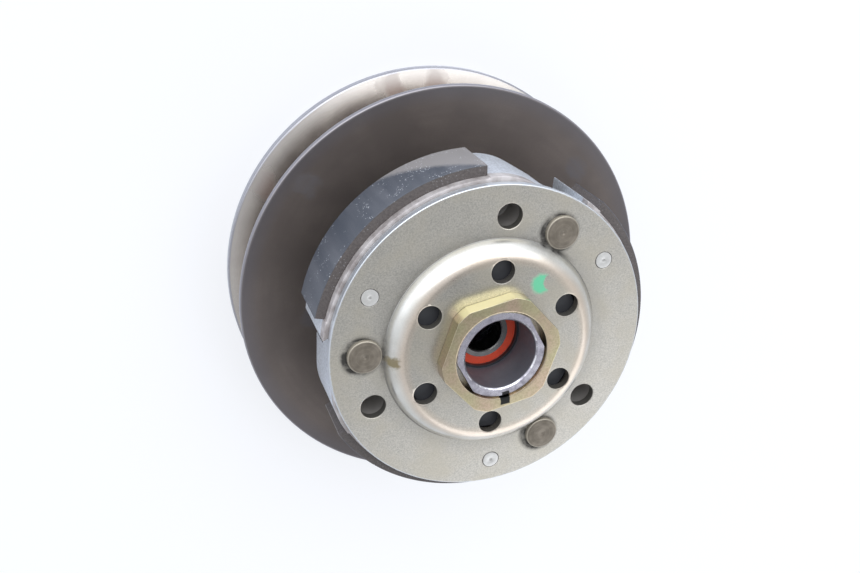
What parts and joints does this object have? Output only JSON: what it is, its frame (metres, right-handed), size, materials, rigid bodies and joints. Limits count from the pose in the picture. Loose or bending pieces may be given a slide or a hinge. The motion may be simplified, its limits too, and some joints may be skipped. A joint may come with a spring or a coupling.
{
  "type": "centrifugal clutch with driven pulley",
  "caption": "Dry centrifugal clutch with lined swinging shoes on a pressed drive plate, bolted to a sprung two-part belt pulley with a torque cam.",
  "frame": {"origin": "on the shaft axis, at the plane of the fixed sheave's rear rim", "axes": "+Z along the shaft axis towards the clutch nut"},
  "size_m": [0.136, 0.136, 0.0777],
  "materials": {
    "sheave_steel": "heat browned steel with polished rims",
    "hub_steel": "turned steel",
    "zinc_plate": "dull zinc plated pressing",
    "yellow_zinc": "yellow zinc plated",
    "pin_steel": "grimy steel",
    "roller_steel": "greased hardened steel",
    "bearing_steel": "ground bearing steel",
    "spring_steel": "oil tempered wire",
    "cast_aluminium": "die cast",
    "friction_lining": "worn friction compound",
    "black_rubber": "moulded",
    "orange_rubber": "moulded",
    "black_plastic": "moulded"
  },
  "bodies": {
    "pulley_hub": {"fixed_sheave": "sheave_steel", "hub_tube": "hub_steel", "guide_pin_1": "pin_steel", "guide_pin_2": "pin_steel", "guide_pin_3": "pin_steel", "guide_roller_1": "roller_steel", "guide_roller_2": "roller_steel", "guide_roller_3": "roller_steel", "drive_plate": "zinc_plate", "clutch_nut": "yellow_zinc", "pivot_pin_1": "pin_steel", "pivot_pin_2": "pin_steel", "pivot_pin_3": "pin_steel", "pivot_washer_1": "pin_steel", "pivot_washer_2": "pin_steel", "pivot_washer_3": "pin_steel", "e_clip_1": "pin_steel", "e_clip_2": "pin_steel", "e_clip_3": "pin_steel", "stop_stud_1": "pin_steel", "stop_stud_2": "pin_steel", "stop_stud_3": "pin_steel", "damper_1": "black_rubber", "damper_2": "black_rubber", "damper_3": "black_rubber", "bearing_outer_ring": "bearing_steel", "bearing_seal": "orange_rubber", "bearing_circlip": "bearing_steel", "needle_shell": "bearing_steel", "spring_seat": "black_plastic", "main_spring": "spring_steel"},
    "spring_collar": {"seal_collar": "zinc_plate"},
    "movable_half": {"movable_sheave": "sheave_steel", "cam_sleeve": "hub_steel", "oil_seal_rear": "black_rubber", "oil_seal_front": "black_rubber", "o_ring_1": "black_rubber", "o_ring_2": "black_rubber"},
    "shoe_1": {"clutch_shoe_1": "cast_aluminium", "lining_1": "friction_lining", "return_spring_1": "spring_steel"},
    "shoe_2": {"clutch_shoe_2": "cast_aluminium", "lining_2": "friction_lining", "return_spring_2": "spring_steel"},
    "shoe_3": {"clutch_shoe_3": "cast_aluminium", "lining_3": "friction_lining", "return_spring_3": "spring_steel"},
    "shaft_ring": {"bearing_inner_ring": "bearing_steel"},
    "ball_train": {"bearing_balls": "bearing_steel", "bearing_cage": "bearing_steel"},
    "needle_train": {"needle_cage": "bearing_steel", "needle_rollers": "bearing_steel"}
  },
  "joints": [
    {"name": "belt_opening", "type": "slide", "parent": "pulley_hub", "child": "spring_collar", "axis": [0, 0, 1], "range_m": [0, 0.012], "stiffness_N_per_m": 3000, "springref_m": -0.004, "deforming": ["main_spring"]},
    {"name": "cam_turn", "type": "hinge", "parent": "spring_collar", "child": "movable_half", "pos_m": [0, 0, 0.016], "axis": [0, 0, 1], "range_deg": [0, 34.2]},
    {"name": "shoe_1_swing", "type": "hinge", "parent": "pulley_hub", "child": "shoe_1", "pos_m": [0.01365, 0.03632, 0.0535], "axis": [0, 0, -1], "range_deg": [0, 3.2], "stiffness_Nm_per_rad": 4, "springref_deg": -2.86, "deforming": ["return_spring_1"]},
    {"name": "shoe_2_swing", "type": "hinge", "parent": "pulley_hub", "child": "shoe_2", "pos_m": [-0.03828, -0.00634, 0.0535], "axis": [0, 0, -1], "range_deg": [0, 3.2], "stiffness_Nm_per_rad": 4, "springref_deg": -2.86, "deforming": ["return_spring_2"]},
    {"name": "shoe_3_swing", "type": "hinge", "parent": "pulley_hub", "child": "shoe_3", "pos_m": [0.02463, -0.02998, 0.0535], "axis": [0, 0, -1], "range_deg": [0, 3.2], "stiffness_Nm_per_rad": 4, "springref_deg": -2.86, "deforming": ["return_spring_3"]},
    {"name": "shaft_ring_turn", "type": "hinge", "parent": "pulley_hub", "child": "shaft_ring", "pos_m": [0, 0, 0.0601], "axis": [0, 0, 1], "continuous": true},
    {"name": "ball_train_turn", "type": "hinge", "parent": "pulley_hub", "child": "ball_train", "pos_m": [0, 0, 0.0601], "axis": [0, 0, 1], "continuous": true},
    {"name": "needle_train_turn", "type": "hinge", "parent": "pulley_hub", "child": "needle_train", "pos_m": [0, 0, 0.013], "axis": [0, 0, 1], "continuous": true}
  ],
  "couplings": [
    {"joint": "cam_turn", "follows": "belt_opening", "rad_per_m": 49.451},
    {"joint": "ball_train_turn", "follows": "shaft_ring_turn", "ratio": 0.41}
  ]
}
